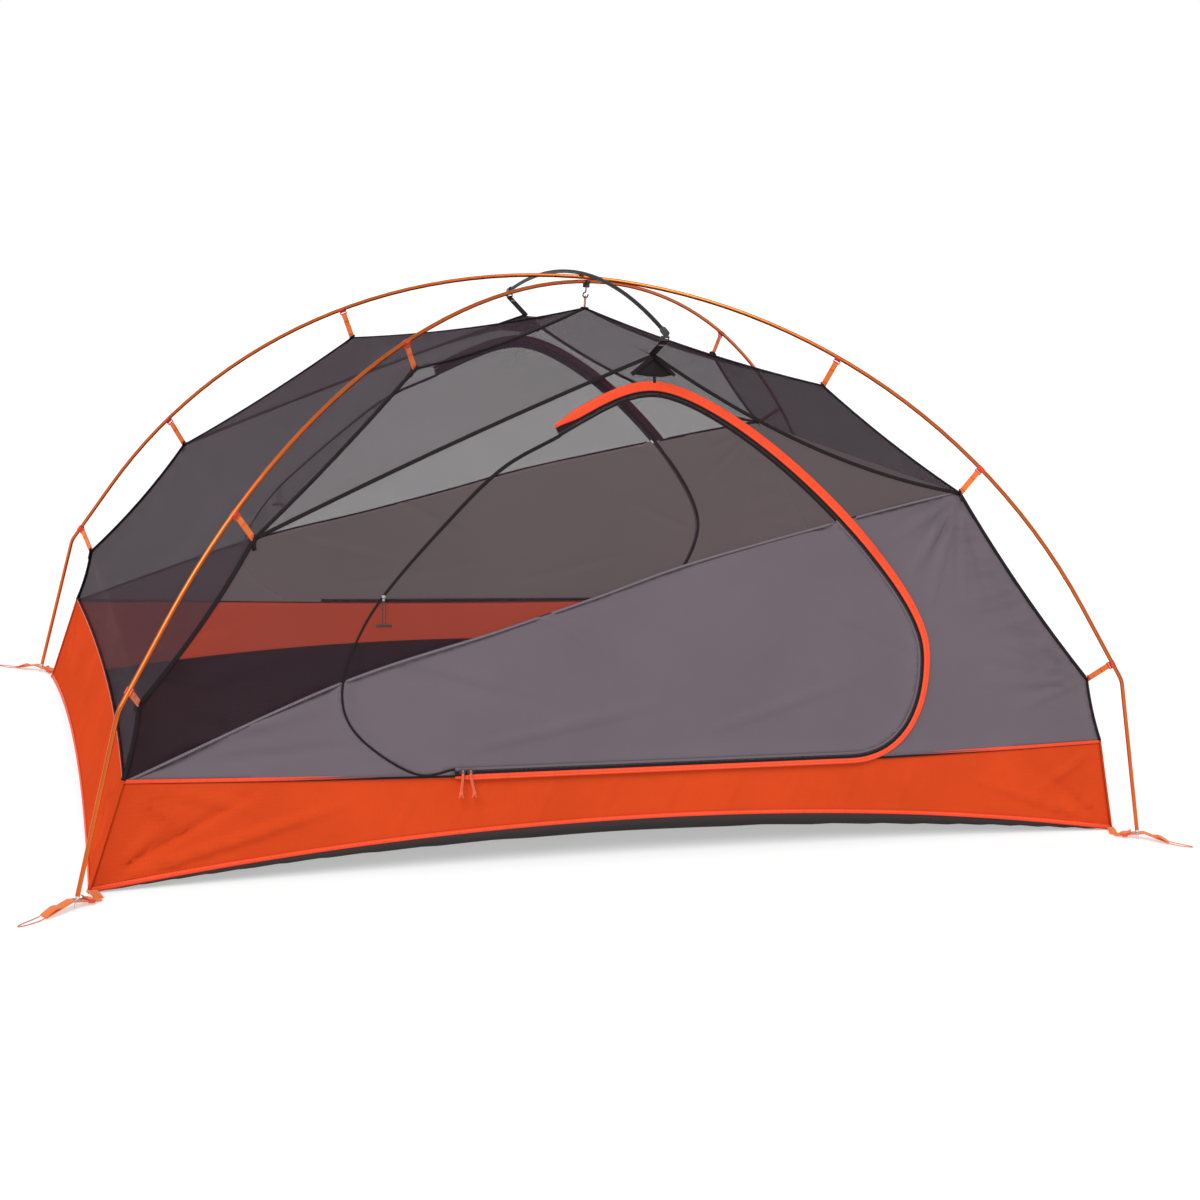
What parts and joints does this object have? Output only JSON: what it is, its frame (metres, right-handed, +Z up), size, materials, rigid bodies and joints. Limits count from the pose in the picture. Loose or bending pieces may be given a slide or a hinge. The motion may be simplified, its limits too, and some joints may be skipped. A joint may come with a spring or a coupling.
{
  "type": "dome tent inner on poles",
  "caption": "Free-standing dome tent inner: net and cloth cabin on a tub floor, clipped to two crossing bent poles and a ridge pole, with zipped D doors front and rear",
  "frame": {"origin": "on the ground under the middle of the floor", "axes": "+X along the floor to the end with the opaque lower panel, +Y to the rear door, +Z up"},
  "size_m": [2.4936, 1.6214, 1.1393],
  "materials": {
    "floor_cloth": "matte coated cloth",
    "wall_orange": "satin coated cloth",
    "flap_orange": "satin coated cloth",
    "canopy_mesh": "fine see-through netting",
    "canopy_cloth": "satin woven cloth",
    "binding": "matte woven tape",
    "webbing_orange": "ribbed webbing",
    "webbing_black": "ribbed webbing",
    "cord_orange": "braided cord",
    "zip_black": "moulded teeth on woven tape",
    "clip_orange": "moulded plastic",
    "plastic_black": "moulded plastic",
    "pole_orange": "orange anodised",
    "pole_black": "black anodised",
    "bare_metal": "bare satin aluminium",
    "slider_metal": "dark enamel",
    "elastic": "braided elastic cord"
  },
  "bodies": {
    "tent": {"floor_sheet": "floor_cloth", "floor_hems": "floor_cloth", "floor_wall_front": "wall_orange", "floor_wall_rear": "wall_orange", "floor_wall_left": "wall_orange", "floor_wall_right": "wall_orange", "left_end_mesh": "canopy_mesh", "right_end_mesh": "canopy_mesh", "right_end_cloth": "canopy_cloth", "front_roof_mesh": "canopy_mesh", "rear_roof_mesh": "canopy_mesh", "front_wall_mesh": "canopy_mesh", "rear_wall_mesh": "canopy_mesh", "front_wall_cloth": "canopy_cloth", "rear_wall_cloth": "canopy_cloth", "front_storm_flap": "flap_orange", "rear_storm_flap": "flap_orange", "front_zip_chain": "zip_black", "rear_zip_chain": "zip_black", "seam_bindings": "binding", "clip_tabs": "webbing_orange", "pole_clips": "clip_orange", "main_pole_a": "pole_orange", "main_pole_b": "pole_orange", "pole_ferrules": "bare_metal", "pole_tips": "bare_metal", "shock_cord_a": "elastic", "shock_cord_b": "elastic", "brow_pole": "pole_black", "brow_tips": "bare_metal", "brow_cups": "plastic_black", "brow_straps": "webbing_black", "peak_clip": "plastic_black", "peak_loop": "cord_orange", "corner_straps": "webbing_orange", "corner_grommets": "bare_metal", "stake_loop_front_left": "cord_orange", "stake_loop_front_right": "cord_orange", "stake_loop_rear_left": "cord_orange", "stake_loop_rear_right": "cord_orange"},
    "front_door": {"front_door_mesh": "canopy_mesh", "front_door_cloth": "canopy_cloth"},
    "rear_door": {"rear_door_mesh": "canopy_mesh", "rear_door_cloth": "canopy_cloth"},
    "hook": {"peak_hook": "plastic_black"},
    "front_tieback": {"front_toggle": "plastic_black"},
    "rear_tieback": {"rear_toggle": "plastic_black"},
    "front_zip_a": {"front_slider_a": "slider_metal"},
    "front_tag_a": {"front_pull_a": "cord_orange"},
    "front_zip_b": {"front_slider_b": "slider_metal"},
    "front_tag_b": {"front_pull_b": "cord_orange"},
    "rear_zip_a": {"rear_slider_a": "slider_metal"},
    "rear_tag_a": {"rear_pull_a": "cord_orange"},
    "rear_zip_b": {"rear_slider_b": "slider_metal"},
    "rear_tag_b": {"rear_pull_b": "cord_orange"},
    "adjuster_front_left": {"buckle_front_left": "clip_orange"},
    "adjuster_front_right": {"buckle_front_right": "clip_orange"},
    "adjuster_rear_left": {"buckle_rear_left": "clip_orange"},
    "adjuster_rear_right": {"buckle_rear_right": "clip_orange"}
  },
  "joints": [
    {"name": "front_door_fold", "type": "hinge", "parent": "tent", "child": "front_door", "pos_m": [-0.43647, -0.67445, 0.20822], "axis": [-0.3304, -0.2712, -0.904], "range_deg": [0, 150]},
    {"name": "front_zip_a_slide", "type": "slide", "parent": "tent", "child": "front_zip_a", "axis": [1, 0, 0], "range_m": [0, 0.8]},
    {"name": "front_tag_a_swing", "type": "hinge", "parent": "front_zip_a", "child": "front_tag_a", "pos_m": [-0.422, -0.68213, 0.20315], "axis": [-1, 0, 0], "range_deg": [0, 110]},
    {"name": "front_zip_b_slide", "type": "slide", "parent": "tent", "child": "front_zip_b", "axis": [1, 0, 0], "range_m": [0, 0.8]},
    {"name": "front_tag_b_swing", "type": "hinge", "parent": "front_zip_b", "child": "front_tag_b", "pos_m": [-0.406, -0.68213, 0.20315], "axis": [-1, 0, 0], "range_deg": [0, 110]},
    {"name": "front_tieback_swing", "type": "hinge", "parent": "tent", "child": "front_tieback", "pos_m": [-0.573, -0.5825, 0.53038], "axis": [-1, 0, 0], "range_deg": [0, 140]},
    {"name": "rear_door_fold", "type": "hinge", "parent": "tent", "child": "rear_door", "pos_m": [-0.43647, 0.67445, 0.20822], "axis": [0.3304, -0.2712, 0.904], "range_deg": [0, 150]},
    {"name": "rear_zip_a_slide", "type": "slide", "parent": "tent", "child": "rear_zip_a", "axis": [1, 0, 0], "range_m": [0, 0.8]},
    {"name": "rear_tag_a_swing", "type": "hinge", "parent": "rear_zip_a", "child": "rear_tag_a", "pos_m": [-0.422, 0.68213, 0.20315], "axis": [1, 0, 0], "range_deg": [0, 110]},
    {"name": "rear_zip_b_slide", "type": "slide", "parent": "tent", "child": "rear_zip_b", "axis": [1, 0, 0], "range_m": [0, 0.8]},
    {"name": "rear_tag_b_swing", "type": "hinge", "parent": "rear_zip_b", "child": "rear_tag_b", "pos_m": [-0.406, 0.68213, 0.20315], "axis": [1, 0, 0], "range_deg": [0, 110]},
    {"name": "rear_tieback_swing", "type": "hinge", "parent": "tent", "child": "rear_tieback", "pos_m": [-0.573, 0.5825, 0.53038], "axis": [1, 0, 0], "range_deg": [0, 140]},
    {"name": "peak_hook_swivel", "type": "hinge", "parent": "tent", "child": "hook", "pos_m": [0, 0, 1.1], "axis": [0, 0, 1], "range_deg": [-35, 35]},
    {"name": "adjuster_front_left_slide", "type": "slide", "parent": "tent", "child": "adjuster_front_left", "axis": [-0.8134, -0.5283, 0.2436], "range_m": [-0.006, 0.006]},
    {"name": "adjuster_front_right_slide", "type": "slide", "parent": "tent", "child": "adjuster_front_right", "axis": [0.8146, -0.5291, 0.2377], "range_m": [-0.006, 0.006]},
    {"name": "adjuster_rear_left_slide", "type": "slide", "parent": "tent", "child": "adjuster_rear_left", "axis": [-0.8146, 0.5291, 0.2377], "range_m": [-0.006, 0.006]},
    {"name": "adjuster_rear_right_slide", "type": "slide", "parent": "tent", "child": "adjuster_rear_right", "axis": [0.8134, 0.5283, 0.2436], "range_m": [-0.006, 0.006]}
  ],
  "couplings": [
    {"joint": "front_zip_a_slide", "follows": "front_zip_b_slide", "ratio": 1},
    {"joint": "rear_zip_a_slide", "follows": "rear_zip_b_slide", "ratio": 1}
  ]
}
